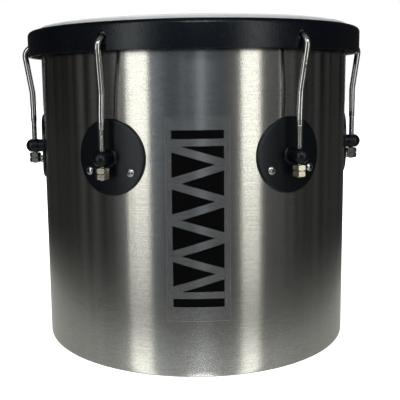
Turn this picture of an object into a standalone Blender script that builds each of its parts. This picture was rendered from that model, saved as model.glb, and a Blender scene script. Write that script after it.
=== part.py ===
"""Hand repique: a single-headed 12 inch samba drum with six hook rods, drawn piece by piece.

The origin is the centre of the open bottom rim, +Z runs up the drum's axis and -Y is the front.
Lengths are in metres. Angles round the drum are measured from the front towards +X.
"""
from math import atan, cos, degrees, radians, sin, sqrt, tan

import bmesh
import bpy
from mathutils import Matrix, Vector

MM = 0.001
GAP = 0.3 * MM                      # clearance between pieces that touch on the real drum
STEPS = 60                          # facets round the drum

# shell: stainless sheet with a hem at the bottom and a bead rolled inwards under the head
SHELL_R = 150 * MM
SHELL_T = 1.0 * MM
SHELL_TOP = 300.6 * MM
BEAD_R = 3.0 * MM
HEM_T = 2.5 * MM
HEM_H = 5.5 * MM

# drumhead: flat film, folded down over the bead into a skirt
FILM_T = 0.35 * MM
FILM_TOP = SHELL_TOP + GAP + FILM_T
SKIRT_R = 153.25 * MM               # outside of the skirt's foot
SKIRT_FOOT = 288.0 * MM

# counterhoop: a wall with six hook holes, and a flange that presses on the flesh hoop
HOOP_R = 162.3 * MM
HOOP_WALL = 2.5 * MM
HOOP_TOP = 296.9 * MM
HOOP_H = 23.7 * MM
HOOP_ROUND = 4.5 * MM
FLANGE_R = 154.2 * MM
FLANGE_T = 2.6 * MM
HOOK_HOLE_R = 4.15 * MM
HOOK_HOLE_Z = 284.3 * MM
HOOP_TURN = 0.95                    # degrees past the lugs: the hooks lean sideways to reach their holes

# flesh hoop: an aluminium channel, open at the bottom
FLESH_R_IN = 153.6 * MM
FLESH_R_OUT = 159.4 * MM
FLESH_FOOT = 287.7 * MM
FLESH_WALL = 1.0 * MM

# lugs
LUG_COUNT = 6
LUG_FIRST = -30.0                   # degrees
LUG_Z = 186 * MM
PLATE_R = 32.4 * MM
PLATE_T = 2.2 * MM
PLATE_BACK = SHELL_R + GAP          # radius of the plate's curved back
PEG_NECK_R = 6.3 * MM
PEG_R = 6.9 * MM
PEG_END = 171.2 * MM                # distance of the peg's tip from the drum's axis
PEG_BORE_R = 3.3 * MM

# hooks: 6 mm rod with a rolled thread at the foot
ROD_R = 2.9 * MM
ROD_FROM_AXIS = 162.4 * MM
ROD_FOOT = 168.2 * MM
BEND_Z = 239 * MM
BEND_RADIUS = 25 * MM
LEAN = atan(0.15)                   # outwards, above the bend
CROOK_R = 9.0 * MM                  # centre line of the crook at the top
CROOK_TOP = 284.4 * MM
SLANT_Z = 222 * MM                  # the rod gives a little above its thread, and slants from there
TIP_FROM_AXIS = 155.4 * MM

# M6 nuts under the peg
NUT_FLATS = 10 * MM
NUT_H = 4.7 * MM
NUT_BORE_R = 3.2 * MM
NUT_TURN_FIRST = -12.0              # degrees from the lug's own direction, the first lug's nut
NUT_TURN_STEP = 27.0                # further at each lug: nuts stop where the tuning leaves them
LOCK_NUT_TURN = 1.0                 # past the tension nut

# M4 screws through each plate and the shell
SCREW_AZIMUTH = 7.64                # degrees to each side of the lug
SCREW_DROP = 11.7 * MM              # below the peg
SCREW_R = 2.0 * MM
SCREW_HEAD_R = 3.65 * MM
SCREW_HEAD_H = 2.3 * MM
SCREW_HOLE_R = 2.35 * MM
SCREW_INNER_END = 143.6 * MM
SMALL_NUT_FLATS = 7 * MM
SMALL_NUT_H = 3.0 * MM
SMALL_NUT_BORE_R = 2.35 * MM

# decal: a sheet of vinyl on the front
DECAL_WIDTH = 53.5 * MM
DECAL_LOW = 49.3 * MM
DECAL_HIGH = 219.3 * MM
DECAL_AZIMUTH = -1.2                # degrees
DECAL_T = 0.3 * MM
DECAL_STRIPS = 10

for old in list(bpy.data.objects):
    bpy.data.objects.remove(old, do_unlink=True)

drum = bpy.data.collections.new("hand_repique")
cutters = bpy.data.collections.new("cutters")
for group in (drum, cutters):
    bpy.context.scene.collection.children.link(group)


def material(name, colour, roughness, metallic):
    made = bpy.data.materials.new(name)
    made.use_nodes = True
    shader = made.node_tree.nodes["Principled BSDF"]
    shader.inputs["Base Color"].default_value = (*colour, 1)
    shader.inputs["Roughness"].default_value = roughness
    shader.inputs["Metallic"].default_value = metallic
    return made


STAINLESS = material("stainless", (0.52, 0.51, 0.49), 0.32, 1.0)
MILKY_FILM = material("milky_film", (0.78, 0.79, 0.79), 0.35, 0.0)
ALUMINIUM = material("aluminium", (0.72, 0.72, 0.73), 0.4, 1.0)
BLACK_COATING = material("black_coating", (0.02, 0.02, 0.022), 0.45, 0.0)
BLACK_PLASTIC = material("black_plastic", (0.018, 0.018, 0.02), 0.4, 0.0)
CHROME = material("chrome", (0.8, 0.8, 0.81), 0.12, 1.0)
NICKEL = material("nickel", (0.66, 0.64, 0.56), 0.3, 1.0)
ZINC = material("zinc", (0.7, 0.7, 0.68), 0.28, 1.0)
VINYL = material("vinyl", (0.03, 0.03, 0.03), 0.3, 0.0)


def round_the_drum(azimuth, radius, height):
    """A point at an angle round the drum, in degrees from the front towards +X."""
    angle = radians(azimuth)
    return Vector((radius * sin(angle), -radius * cos(angle), height))


def smooth(mesh, angle=35):
    mesh.shade_smooth()
    mesh.set_sharp_from_angle(angle=radians(angle))


def add(name, mesh, look, at=(0, 0, 0), turn=0.0, group=drum):
    """An object of a mesh at a place, turned round +Z by degrees."""
    made = bpy.data.objects.new(name, mesh)
    made.location = at
    made.rotation_euler = (0, 0, radians(turn))
    group.objects.link(made)
    if look and not mesh.materials:
        mesh.materials.append(look)
    if group is cutters:
        made.hide_render = True
        made.display_type = "WIRE"
    return made


def outline(points, closed):
    """A mesh of edges through (radius, height) points, for a Screw modifier to turn."""
    mesh = bpy.data.meshes.new("profile")
    last = len(points)
    edges = [(i, (i + 1) % last) for i in range(last if closed else last - 1)]
    mesh.from_pydata([(r, 0, z) for r, z in points], edges, [])
    return mesh


def turned(name, points, closed, steps=STEPS, look=None, group=drum):
    """A profile turned about +Z. It runs down its outer side, from top to bottom."""
    made = add(name, outline(points, closed), look, group=group)
    spin = made.modifiers.new("turn", "SCREW")
    spin.steps = spin.render_steps = steps
    spin.use_merge_vertices = True
    spin.merge_threshold = 1e-6
    spin.use_smooth_shade = True
    return made


def settled(thing):
    """The mesh of an object after its modifiers. The object itself goes."""
    bpy.context.view_layer.update()
    seen = thing.evaluated_get(bpy.context.evaluated_depsgraph_get())
    mesh = bpy.data.meshes.new_from_object(seen)
    bpy.data.objects.remove(thing, do_unlink=True)
    return mesh


def arc(centre_r, centre_z, radius, start, stop, count):
    """Points on an arc in the (radius, height) plane. Angles in degrees, 0 outwards, 90 up."""
    spots = []
    for i in range(count):
        angle = radians(start + (stop - start) * i / (count - 1))
        spots.append((centre_r + radius * cos(angle), centre_z + radius * sin(angle)))
    return spots


def bar(name, radius, length, sides=12):
    """A bare cylinder along +Z, from its middle."""
    mesh = bpy.data.meshes.new(name)
    shape = bmesh.new()
    bmesh.ops.create_cone(shape, cap_ends=True, segments=sides, radius1=radius, radius2=radius,
                          depth=length)
    shape.to_mesh(mesh)
    shape.free()
    return mesh


def joined(name, shapes):
    """One mesh that holds several, for use as a single cutter."""
    mesh = bpy.data.meshes.new(name)
    whole = bmesh.new()
    for shape, place in shapes:
        part = bmesh.new()
        part.from_mesh(shape)
        part.transform(place)
        moved = bpy.data.meshes.new("moved")
        part.to_mesh(moved)
        part.free()
        whole.from_mesh(moved)
        bpy.data.meshes.remove(moved)
    whole.to_mesh(mesh)
    whole.free()
    return mesh


def outwards(azimuth, radius, height):
    """The frame of a radial hole: its +Z points out of the drum at an angle and a height."""
    turn = Matrix.Rotation(radians(azimuth), 4, "Z") @ Matrix.Rotation(radians(90), 4, "X")
    return Matrix.Translation(round_the_drum(azimuth, radius, height)) @ turn


def cut(thing, tool, how="DIFFERENCE"):
    knife = thing.modifiers.new("cut", "BOOLEAN")
    knife.operation = how
    knife.solver = "EXACT"
    knife.object = tool


def lug_azimuths():
    return [LUG_FIRST + 360.0 / LUG_COUNT * i for i in range(LUG_COUNT)]


def screw_places():
    """(lug number, side, azimuth) of every lug screw."""
    sides = (("left", -SCREW_AZIMUTH), ("right", SCREW_AZIMUTH))
    return [
        (number, side, azimuth + offset)
        for number, azimuth in enumerate(lug_azimuths(), start=1)
        for side, offset in sides
    ]


SCREW_Z = LUG_Z - SCREW_DROP
PLATE_FACE = PLATE_BACK + PLATE_T


def make_shell():
    inner = SHELL_R - SHELL_T
    bead_z = SHELL_TOP - BEAD_R
    bead_at = SHELL_R - BEAD_R
    lip = BEAD_R - SHELL_T
    edge = 0.5 * MM
    wall = [
        (SHELL_R, edge),
        (SHELL_R - edge, 0),
        (SHELL_R - HEM_T + edge, 0),
        (SHELL_R - HEM_T, edge),
        (SHELL_R - HEM_T, HEM_H),
        (inner, HEM_H + 1.5 * SHELL_T),
    ]
    inside = arc(bead_at, bead_z, lip, 0, 180, 5)
    outside = arc(bead_at, bead_z, BEAD_R, 180, 0, 5)
    shell = turned("shell", wall + inside + outside, closed=True, look=STAINLESS)
    hole = bar("screw_hole", SCREW_HOLE_R, 8 * MM, sides=8)
    drill = joined("shell_drill", [
        (hole, outwards(azimuth, SHELL_R, SCREW_Z)) for _, _, azimuth in screw_places()
    ])
    cut(shell, add("shell_drill", drill, None, group=cutters))


def make_drumhead():
    flat_r = SHELL_R - BEAD_R - 1.0 * MM
    under = FILM_TOP - FILM_T
    top = [
        (0, FILM_TOP),
        (flat_r, FILM_TOP),
        (SHELL_R - 0.4 * MM, FILM_TOP - 0.65 * MM),
        (SHELL_R + 0.75 * MM, FILM_TOP - 2.0 * MM),
        (SHELL_R + 1.1 * MM, FILM_TOP - 4.0 * MM),
        (SKIRT_R, SKIRT_FOOT),
    ]
    below = [
        (SKIRT_R - FILM_T, SKIRT_FOOT),
        (SHELL_R + 0.7 * MM, FILM_TOP - 4.2 * MM),
        (SHELL_R + 0.4 * MM, FILM_TOP - 2.2 * MM),
        (SHELL_R - 0.6 * MM, FILM_TOP - 0.98 * MM),
        (flat_r, under),
        (0, under),
    ]
    turned("drumhead", top + below, closed=False, look=MILKY_FILM)


def make_flesh_hoop():
    top = HOOP_TOP - FLANGE_T - GAP
    web = top - FLESH_WALL
    turned("flesh_hoop", [
        (FLESH_R_OUT, top),
        (FLESH_R_OUT, FLESH_FOOT),
        (FLESH_R_OUT - FLESH_WALL, FLESH_FOOT),
        (FLESH_R_OUT - FLESH_WALL, web),
        (FLESH_R_IN + FLESH_WALL, web),
        (FLESH_R_IN + FLESH_WALL, FLESH_FOOT),
        (FLESH_R_IN, FLESH_FOOT),
        (FLESH_R_IN, top),
    ], closed=True, look=ALUMINIUM)


def make_counterhoop():
    foot = HOOP_TOP - HOOP_H
    inner = HOOP_R - HOOP_WALL
    under = HOOP_TOP - FLANGE_T
    edge = 0.4 * MM
    crown = arc(HOOP_R - HOOP_ROUND, HOOP_TOP - HOOP_ROUND, HOOP_ROUND, 90, 0, 5)
    wall = [
        (HOOP_R, foot + edge),
        (HOOP_R - edge, foot),
        (inner + edge, foot),
        (inner, foot + edge),
        (inner, under),
        (FLANGE_R, under),
        (FLANGE_R, HOOP_TOP - edge),
        (FLANGE_R + edge, HOOP_TOP),
    ]
    hoop = turned("counterhoop", crown + wall, closed=True, look=BLACK_COATING)
    hole = bar("hook_hole", HOOK_HOLE_R, 4 * HOOP_WALL)
    drill = joined("hoop_drill", [
        (hole, outwards(azimuth + HOOP_TURN, HOOP_R - HOOP_WALL / 2, HOOK_HOLE_Z))
        for azimuth in lug_azimuths()
    ])
    cut(hoop, add("hoop_drill", drill, None, group=cutters))


def make_decal():
    """A strip of vinyl bent to the shell, thickened outwards."""
    inner = SHELL_R + GAP
    half = degrees(DECAL_WIDTH / inner / 2)
    sheet = bmesh.new()
    bmesh.ops.create_grid(sheet, x_segments=DECAL_STRIPS, y_segments=1, size=1)
    for corner in sheet.verts:
        azimuth = DECAL_AZIMUTH + corner.co.x * half
        height = DECAL_HIGH if corner.co.y > 0 else DECAL_LOW
        corner.co = round_the_drum(azimuth, inner, height)
    sheet.normal_update()
    for strip in sheet.faces:
        if strip.normal.y > 0:
            strip.normal_flip()
    mesh = bpy.data.meshes.new("decal")
    sheet.to_mesh(mesh)
    sheet.free()
    thick = add("decal", mesh, VINYL).modifiers.new("thickness", "SOLIDIFY")
    thick.thickness = DECAL_T
    thick.offset = 1


def bent_plate():
    """The round plate. It is turned as a flat disc along +Z, then bent round the drum."""
    rim = 0.9 * MM
    disc = turned("flat_plate", [
        (0, PLATE_T),
        (PLATE_R * 0.35, PLATE_T),
        (PLATE_R * 0.7, PLATE_T),
        (PLATE_R - rim, PLATE_T),
        (PLATE_R, PLATE_T - rim),
        (PLATE_R, 0),
        (PLATE_R * 0.7, 0),
        (PLATE_R * 0.35, 0),
        (0, 0),
    ], closed=False, steps=24)
    mesh = settled(disc)
    for corner in mesh.vertices:
        across, up, out = corner.co.x, corner.co.y, corner.co.z
        azimuth = degrees(across / PLATE_BACK)
        corner.co = round_the_drum(azimuth, PLATE_BACK + out, LUG_Z + up)
    return mesh


def make_lugs():
    """A plate and its peg in one moulding, with the hook's bore and two screw holes."""
    root = PLATE_BACK + PLATE_T / 2
    dome = PEG_END - PEG_R
    peg = turned("peg", [
        (0, PEG_END),
        *arc(0, dome, PEG_R, 67.5, 0, 3),
        (PEG_R, ROD_FROM_AXIS - PEG_R * 0.4),
        (PEG_NECK_R, ROD_FROM_AXIS - PEG_R * 0.7),
        (PEG_NECK_R, root),
        (0, root),
    ], closed=False, steps=12, group=cutters)
    peg.matrix_world = outwards(0, 0, LUG_Z)
    bpy.context.view_layer.update()

    bore = bar("peg_bore", PEG_BORE_R, 4 * PEG_R)
    screw_hole = bar("plate_hole", SCREW_HOLE_R, 6 * PLATE_T, sides=8)
    drill = joined("lug_drill", [
        (bore, Matrix.Translation(round_the_drum(0, ROD_FROM_AXIS, LUG_Z))),
        *[(screw_hole, outwards(side * SCREW_AZIMUTH, PLATE_FACE, SCREW_Z)) for side in (-1, 1)],
    ])
    tool = add("lug_drill", drill, None, group=cutters)

    blank = add("lug_blank", bent_plate(), BLACK_PLASTIC)
    cut(blank, peg, "UNION")
    cut(blank, tool)
    mesh = settled(blank)
    smooth(mesh)
    for number, azimuth in enumerate(lug_azimuths(), start=1):
        add(f"lug_{number}", mesh, BLACK_PLASTIC, turn=azimuth)


def hook_route():
    """The rod's centre line as (distance outwards from the threaded shank, height)."""
    crook_z = CROOK_TOP - CROOK_R
    crook_foot = (crook_z - CROOK_R * sin(LEAN) - BEND_Z) * tan(LEAN)
    crook_at = crook_foot - CROOK_R * cos(LEAN)
    bend_foot = BEND_Z - BEND_RADIUS * tan(LEAN / 2)
    turn = degrees(LEAN)
    return [
        (0, ROD_FOOT),
        (0, LUG_Z),
        (0, SLANT_Z),
        *arc(BEND_RADIUS, bend_foot, BEND_RADIUS, 180, 180 - turn, 4),
        *arc(crook_at, crook_z, CROOK_R, -turn, 90, 9),
        (TIP_FROM_AXIS - ROD_FROM_AXIS, CROOK_TOP),
    ]


def make_hooks():
    curve = bpy.data.curves.new("hook", "CURVE")
    curve.dimensions = "3D"
    curve.bevel_depth = ROD_R
    curve.bevel_resolution = 2
    curve.use_fill_caps = True
    route = hook_route()
    slant = ROD_FROM_AXIS * sin(radians(HOOP_TURN)) / (CROOK_TOP - SLANT_Z)
    line = curve.splines.new("POLY")
    line.points.add(len(route) - 1)
    for point, (out, height) in zip(line.points, route):
        aside = slant * max(0, height - SLANT_Z)
        point.co = (aside, -out, height - LUG_Z, 1)
    wire = bpy.data.objects.new("hook_wire", curve)
    drum.objects.link(wire)
    mesh = settled(wire)
    shape = bmesh.new()
    shape.from_mesh(mesh)
    bmesh.ops.remove_doubles(shape, verts=shape.verts, dist=1e-6)
    shape.to_mesh(mesh)
    shape.free()
    mesh.materials.clear()
    smooth(mesh, 50)
    for number, azimuth in enumerate(lug_azimuths(), start=1):
        place = round_the_drum(azimuth, ROD_FROM_AXIS, LUG_Z)
        add(f"hook_{number}", mesh, CHROME, at=place, turn=azimuth)


def hex_nut(name, flats, height, bore_r):
    """A nut round the origin, its top face at height 0."""
    corner_r = flats / sqrt(3)
    blank = add(name, bar(name, corner_r, height, sides=6), None)
    tool = add(name + "_bore", bar(name, bore_r, 3 * height), None, group=cutters)
    cut(blank, tool)
    mesh = settled(blank)
    for corner in mesh.vertices:
        corner.co.z -= height / 2
    mesh.materials.clear()
    return mesh


def make_hook_nuts():
    mesh = hex_nut("m6_nut", NUT_FLATS, NUT_H, NUT_BORE_R)
    seat = LUG_Z - PEG_R - GAP
    rows = (("tension_nut", seat, 0), ("lock_nut", seat - NUT_H - GAP, LOCK_NUT_TURN))
    for number, azimuth in enumerate(lug_azimuths(), start=1):
        first = azimuth + NUT_TURN_FIRST + NUT_TURN_STEP * (number - 1)
        for kind, height, further in rows:
            place = round_the_drum(azimuth, ROD_FROM_AXIS, height)
            add(f"{kind}_{number}", mesh, NICKEL, at=place, turn=first + further)


def make_lug_screws():
    head_seat = PLATE_FACE + GAP
    length = head_seat - SCREW_INNER_END
    blank = turned("screw", [
        (0, SCREW_HEAD_H),
        (SCREW_HEAD_R * 0.62, SCREW_HEAD_H * 0.9),
        (SCREW_HEAD_R, SCREW_HEAD_H * 0.35),
        (SCREW_HEAD_R, 0),
        (SCREW_R, 0),
        (SCREW_R, -length),
        (0, -length),
    ], closed=False, steps=12)
    screw = settled(blank)
    smooth(screw)
    nut = hex_nut("m4_nut", SMALL_NUT_FLATS, SMALL_NUT_H, SMALL_NUT_BORE_R)
    nut_top = SHELL_R - SHELL_T - 2 * GAP
    for number, side, azimuth in screw_places():
        bolt = add(f"lug_{number}_screw_{side}", screw, ZINC)
        bolt.matrix_world = outwards(azimuth, head_seat, SCREW_Z)
        ring = add(f"lug_{number}_screw_nut_{side}", nut, ZINC)
        ring.matrix_world = outwards(azimuth, nut_top, SCREW_Z)


make_shell()
make_drumhead()
make_flesh_hoop()
make_counterhoop()
make_decal()
make_lugs()
make_hooks()
make_hook_nuts()
make_lug_screws()
bpy.context.view_layer.update()
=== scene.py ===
"""Looks of the hand repique: fine meshes, materials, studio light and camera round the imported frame.

Lengths are in metres. Azimuths are degrees round the drum's axis, from the front (-Y) towards +X.
A piece that repeats is drawn once at azimuth 0, where -Y points out of the drum, and then turned.
"""

from math import acos, asin, atan, atan2, ceil, cos, degrees, pi, radians, sin, sqrt, tan, tau

import bmesh
import bpy
from mathutils import Matrix, Vector


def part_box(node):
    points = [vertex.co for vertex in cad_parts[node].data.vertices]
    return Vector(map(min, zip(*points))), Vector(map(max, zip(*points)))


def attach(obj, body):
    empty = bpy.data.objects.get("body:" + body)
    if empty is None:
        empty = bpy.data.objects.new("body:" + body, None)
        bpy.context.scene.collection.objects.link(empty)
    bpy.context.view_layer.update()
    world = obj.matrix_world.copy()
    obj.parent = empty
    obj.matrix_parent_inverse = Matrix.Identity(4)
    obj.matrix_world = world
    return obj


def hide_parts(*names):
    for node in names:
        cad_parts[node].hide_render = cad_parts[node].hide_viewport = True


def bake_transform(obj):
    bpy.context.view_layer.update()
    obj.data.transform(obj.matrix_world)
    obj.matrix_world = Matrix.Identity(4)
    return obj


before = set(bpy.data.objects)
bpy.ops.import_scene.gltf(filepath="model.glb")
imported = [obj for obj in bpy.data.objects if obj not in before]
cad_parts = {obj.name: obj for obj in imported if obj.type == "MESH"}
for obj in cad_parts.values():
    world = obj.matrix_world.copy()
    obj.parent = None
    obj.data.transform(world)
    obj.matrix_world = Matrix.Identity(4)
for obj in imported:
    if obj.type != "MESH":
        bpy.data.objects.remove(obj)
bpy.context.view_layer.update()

MM = 0.001
LUG_AZIMUTHS = [-30 + 60 * i for i in range(6)]
SIDES = ("left", "right")


# ---------------------------------------------------------------- sizes read from the frame

_, shell_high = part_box("shell")
film_low, film_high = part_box("drumhead")
hoop_low, hoop_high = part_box("counterhoop")
flesh_low, flesh_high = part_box("flesh_hoop")
decal_low, decal_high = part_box("decal")
lug_low, lug_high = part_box("lug_3")                 # the lug on the +X side
rod_low, rod_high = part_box("hook_3")
nut_low, nut_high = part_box("tension_nut_3")
_, lock_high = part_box("lock_nut_3")

SHELL_R = shell_high.x
SHELL_TOP = shell_high.z
FILM_TOP = film_high.z
SKIRT_R = film_high.x
SKIRT_FOOT = film_low.z
HOOP_R = hoop_high.x
HOOP_TOP = hoop_high.z
HOOP_FOOT = hoop_low.z
FLESH_R = flesh_high.x
FLESH_TOP = flesh_high.z
FLESH_FOOT = flesh_low.z
LUG_Z = (lug_low.z + lug_high.z) / 2
PLATE_R = (lug_high.z - lug_low.z) / 2
PEG_END = lug_high.x
ROD_FOOT = rod_low.z
ROD_TOP = rod_high.z
NUT_TOP = nut_high.z
NUT_H = nut_high.z - nut_low.z
LOCK_TOP = lock_high.z
NUT_AXIS = (nut_low.x + nut_high.x) / 2             # the shank's distance from the drum's axis


# ---------------------------------------------------------------- outlines

def arc(centre_r, centre_z, radius, start, stop, count):
    """Points on an arc in the (radius, height) plane. Angles in degrees, 0 outwards, 90 up."""
    spots = []
    for i in range(count):
        angle = radians(start + (stop - start) * i / (count - 1))
        spots.append((centre_r + radius * cos(angle), centre_z + radius * sin(angle)))
    return spots


def filleted(corners, closed=True, count=5):
    """An outline through (x, y, fillet radius) corners, with an arc at each corner that has a radius."""
    spots = []
    last = len(corners)
    for i, (x, y, radius) in enumerate(corners):
        here = Vector((x, y))
        if radius <= 0 or (not closed and i in (0, last - 1)):
            spots.append((x, y))
            continue
        back = (Vector(corners[i - 1][:2]) - here).normalized()
        ahead = (Vector(corners[(i + 1) % last][:2]) - here).normalized()
        half = acos(max(-1.0, min(1.0, back.dot(ahead)))) / 2
        centre = here + (back + ahead).normalized() * (radius / sin(half))
        first = here + back * (radius / tan(half)) - centre
        final = here + ahead * (radius / tan(half)) - centre
        start = atan2(first.y, first.x)
        sweep = atan2(first.x * final.y - first.y * final.x, first.dot(final))
        for k in range(count):
            angle = start + sweep * k / (count - 1)
            spots.append((centre.x + radius * cos(angle), centre.y + radius * sin(angle)))
    return spots


# ---------------------------------------------------------------- meshes

def mesh_of(name, shape, smooth_angle=32):
    """A mesh from a bmesh, with its normals outwards and its sharp edges marked. The bmesh is freed."""
    bmesh.ops.recalc_face_normals(shape, faces=shape.faces)
    mesh = bpy.data.meshes.new(name)
    shape.to_mesh(mesh)
    shape.free()
    mesh.shade_smooth()
    mesh.set_sharp_from_angle(angle=radians(smooth_angle))
    return mesh


def lathe(name, outline, steps, closed=True, smooth_angle=32):
    """A (radius, height) outline turned about Z. An open one starts and ends on the axis."""
    shape = bmesh.new()
    corners = [shape.verts.new((r, 0, z)) for r, z in outline]
    edges = [shape.edges.new(pair) for pair in zip(corners, corners[1:])]
    if closed:
        edges.append(shape.edges.new((corners[-1], corners[0])))
    bmesh.ops.spin(shape, geom=corners + edges, axis=(0, 0, 1), cent=(0, 0, 0), angle=tau,
                   steps=steps, use_merge=True)
    bmesh.ops.remove_doubles(shape, verts=shape.verts, dist=1e-7)
    return mesh_of(name, shape, smooth_angle)


def tube(name, stations, sides, smooth_angle=40):
    """A bar swept close to the plane x = 0 through (centre, tangent, radius at an angle) stations."""
    shape = bmesh.new()
    rings = []
    across = Vector((1, 0, 0))
    for centre, tangent, radius_at in stations:
        out = Vector((0, -tangent.z, tangent.y))
        ring = []
        for k in range(sides):
            angle = tau * k / sides
            spoke = out * cos(angle) + across * sin(angle)
            ring.append(shape.verts.new(centre + radius_at(angle) * spoke))
        rings.append(ring)
    for lower, upper in zip(rings, rings[1:]):
        for k in range(sides):
            after = (k + 1) % sides
            shape.faces.new((lower[k], lower[after], upper[after], upper[k]))
    shape.faces.new(rings[0])
    shape.faces.new(rings[-1])
    return mesh_of(name, shape, smooth_angle)


def prism(name, sides, radius, height):
    """An upright prism round the origin. Its radius is that of its corners."""
    shape = bmesh.new()
    bmesh.ops.create_cone(shape, cap_ends=True, segments=sides, radius1=radius, radius2=radius,
                          depth=height)
    return mesh_of(name, shape)


def combined(mesh, tool, how, smooth_angle=32):
    """A mesh after a Boolean with a tool mesh."""
    pair = [bpy.data.objects.new("pair", each) for each in (mesh, tool)]
    for each in pair:
        bpy.context.scene.collection.objects.link(each)
    knife = pair[0].modifiers.new("cut", "BOOLEAN")
    knife.operation = how
    knife.solver = "EXACT"
    knife.object = pair[1]
    bpy.context.view_layer.update()
    made = bpy.data.meshes.new_from_object(pair[0].evaluated_get(bpy.context.evaluated_depsgraph_get()))
    for each in pair:
        bpy.data.objects.remove(each)
    made.name = mesh.name
    made.materials.clear()
    made.shade_smooth()
    made.set_sharp_from_angle(angle=radians(smooth_angle))
    return made


def gathered(name, placed):
    """One mesh that holds several placed meshes, as (mesh, matrix) pairs."""
    whole = bmesh.new()
    for mesh, place in placed:
        moved = mesh.copy()
        moved.transform(place)
        whole.from_mesh(moved)
        bpy.data.meshes.remove(moved)
    made = bpy.data.meshes.new(name)
    whole.to_mesh(made)
    whole.free()
    return made


def round_the_drum(azimuth, radius, height):
    """The point at an azimuth, a distance from the drum's axis and a height."""
    angle = radians(azimuth)
    return Vector((radius * sin(angle), -radius * cos(angle), height))


def outwards(azimuth, radius, height):
    """The frame of a radial piece: its +Z points out of the drum."""
    turn = Matrix.Rotation(radians(azimuth), 4, "Z") @ Matrix.Rotation(radians(90), 4, "X")
    return Matrix.Translation(round_the_drum(azimuth, radius, height)) @ turn


def piece(name, mesh, body, look, nodes, place=None):
    """A visible piece: it rides on a body, takes a look and stands for CAD nodes."""
    made = bpy.data.objects.new(name, mesh)
    bpy.context.scene.collection.objects.link(made)
    if place is not None:
        made.matrix_world = place
    if not mesh.materials:
        mesh.materials.append(look)
    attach(made, body)
    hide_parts(*nodes)
    return made


# ---------------------------------------------------------------- materials

class Look:
    """A material with one Principled BSDF, and short calls that add the nodes of its pattern."""

    def __init__(self, name, **numbers):
        self.material = bpy.data.materials.new(name)
        self.material.use_nodes = True
        self.nodes = self.material.node_tree.nodes
        self.links = self.material.node_tree.links
        self.shader = self.nodes["Principled BSDF"]
        for socket, value in numbers.items():
            self.shader.inputs[socket.replace("_", " ")].default_value = value

    def node(self, kind, inputs=(), **settings):
        """A new node with its settings and its inputs, which are sockets to link or plain values."""
        made = self.nodes.new(kind)
        for key, value in settings.items():
            setattr(made, key, value)
        for key, value in dict(inputs).items():
            if isinstance(value, bpy.types.NodeSocket):
                self.links.new(value, made.inputs[key])
            else:
                made.inputs[key].default_value = value
        return made

    def place(self, scale=(1, 1, 1)):
        """The point on the object, stretched, so that a pattern can run along one direction."""
        where = self.node("ShaderNodeTexCoord").outputs["Object"]
        inputs = {"Vector": where, "Scale": scale}
        return self.node("ShaderNodeMapping", inputs).outputs[0]

    def noise(self, where, scale, detail=2.0, roughness=0.5):
        inputs = {"Vector": where, "Scale": scale, "Detail": detail, "Roughness": roughness}
        return self.node("ShaderNodeTexNoise", inputs).outputs[0]

    def cells(self, where, scale):
        inputs = {"Vector": where, "Scale": scale, "Smoothness": 1.0}
        return self.node("ShaderNodeTexVoronoi", inputs, feature="SMOOTH_F1").outputs["Distance"]

    def between(self, value, low, high, to_low, to_high):
        """A value mapped from one range to another, clamped."""
        inputs = {"Value": value, "From Min": low, "From Max": high, "To Min": to_low, "To Max": to_high}
        return self.node("ShaderNodeMapRange", inputs).outputs[0]

    def length(self, vector):
        return self.node("ShaderNodeVectorMath", {0: vector}, operation="LENGTH").outputs["Value"]

    def distance(self, first, second):
        inputs = {0: first, 1: second}
        return self.node("ShaderNodeVectorMath", inputs, operation="DISTANCE").outputs["Value"]

    def maths(self, how, first, second=0.0):
        return self.node("ShaderNodeMath", {0: first, 1: second}, operation=how).outputs[0]

    def mixed(self, share, first, second):
        """A mix of two colours. Inputs 6 and 7 and output 2 are the node's colour sockets."""
        made = self.node("ShaderNodeMix", {"Factor": share}, data_type="RGBA")
        for socket, value in ((made.inputs[6], first), (made.inputs[7], second)):
            if isinstance(value, bpy.types.NodeSocket):
                self.links.new(value, socket)
            else:
                socket.default_value = (*value, 1)
        return made.outputs[2]

    def ramp(self, value, stops):
        """A colour that runs through (position, brightness, tint) stops, in rising order."""
        made = self.node("ShaderNodeValToRGB", {0: value})
        while len(made.color_ramp.elements) < len(stops):
            made.color_ramp.elements.new(0.5)
        for element, (position, brightness, tint) in zip(made.color_ramp.elements, stops):
            element.position = position
            element.color = (*(brightness * share for share in tint), 1)
        return made.outputs[0]

    def emission(self, **inputs):
        return self.node("ShaderNodeEmission", inputs).outputs[0]

    def joined(self, first, second):
        """The sum of two shaders."""
        return self.node("ShaderNodeAddShader", {0: first, 1: second}).outputs[0]

    def blended(self, share, first, second):
        """A mix of two shaders."""
        return self.node("ShaderNodeMixShader", {0: share, 1: first, 2: second}).outputs[0]

    def drives(self, socket, value):
        """Link a value to a socket of the shader."""
        self.links.new(value, self.shader.inputs[socket])

    def bumps(self, height, distance, strength=1.0):
        """Relief. A later call adds to the ones before it."""
        made = self.node("ShaderNodeBump", {"Height": height, "Distance": distance, "Strength": strength})
        before = self.shader.inputs["Normal"].links
        if before:
            self.links.new(before[0].from_socket, made.inputs["Normal"])
        self.links.new(made.outputs[0], self.shader.inputs["Normal"])


BLUISH = (0.9, 0.98, 1.06, 1)                       # the tint of the black pieces' highlights


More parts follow.
